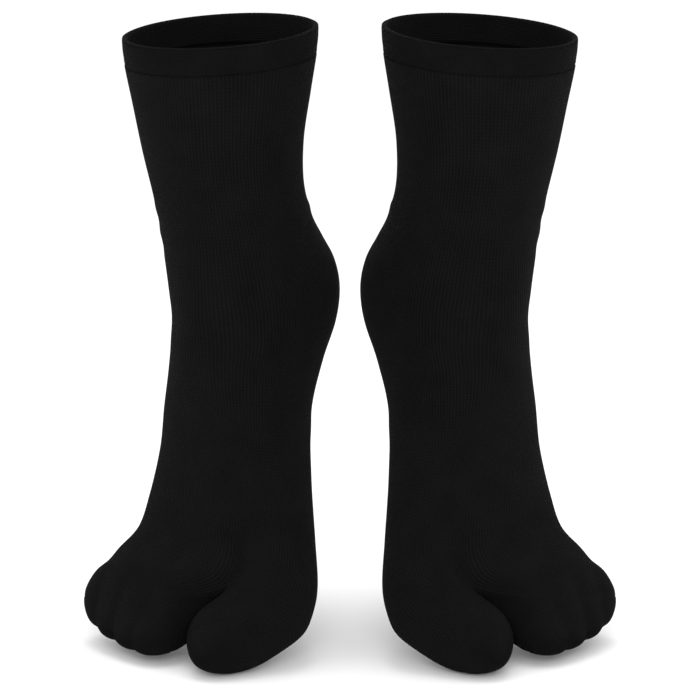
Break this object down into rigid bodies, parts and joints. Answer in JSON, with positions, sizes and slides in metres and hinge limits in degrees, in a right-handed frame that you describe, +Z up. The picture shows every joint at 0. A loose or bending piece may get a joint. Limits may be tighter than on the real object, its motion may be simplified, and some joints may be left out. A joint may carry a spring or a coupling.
{
  "type": "pair of tabi socks",
  "caption": "Black knitted split-toe socks with a turned cuff band, each holding the hollow form of a pointed foot.",
  "frame": {"origin": "Midway between the two cuffs, at the middle of their mouths, where the wearer's legs hold the socks.", "axes": "+Z is up along the legs, -Y is the way the toes point, and +X runs from the right sock to the left sock, which mirror each other across X = 0."},
  "size_m": [0.2774, 0.1767, 0.3187],
  "materials": {
    "sock_knit": "matte fine-gauge cotton knit with vertical wales on the leg",
    "cuff_knit": "matte dense double-layer knit with fine courses round the cuff"
  },
  "bodies": {
    "root": {"right_sock_body": "sock_knit", "right_sock_welt": "cuff_knit", "left_sock_body": "sock_knit", "left_sock_welt": "cuff_knit"}
  },
  "joints": []
}
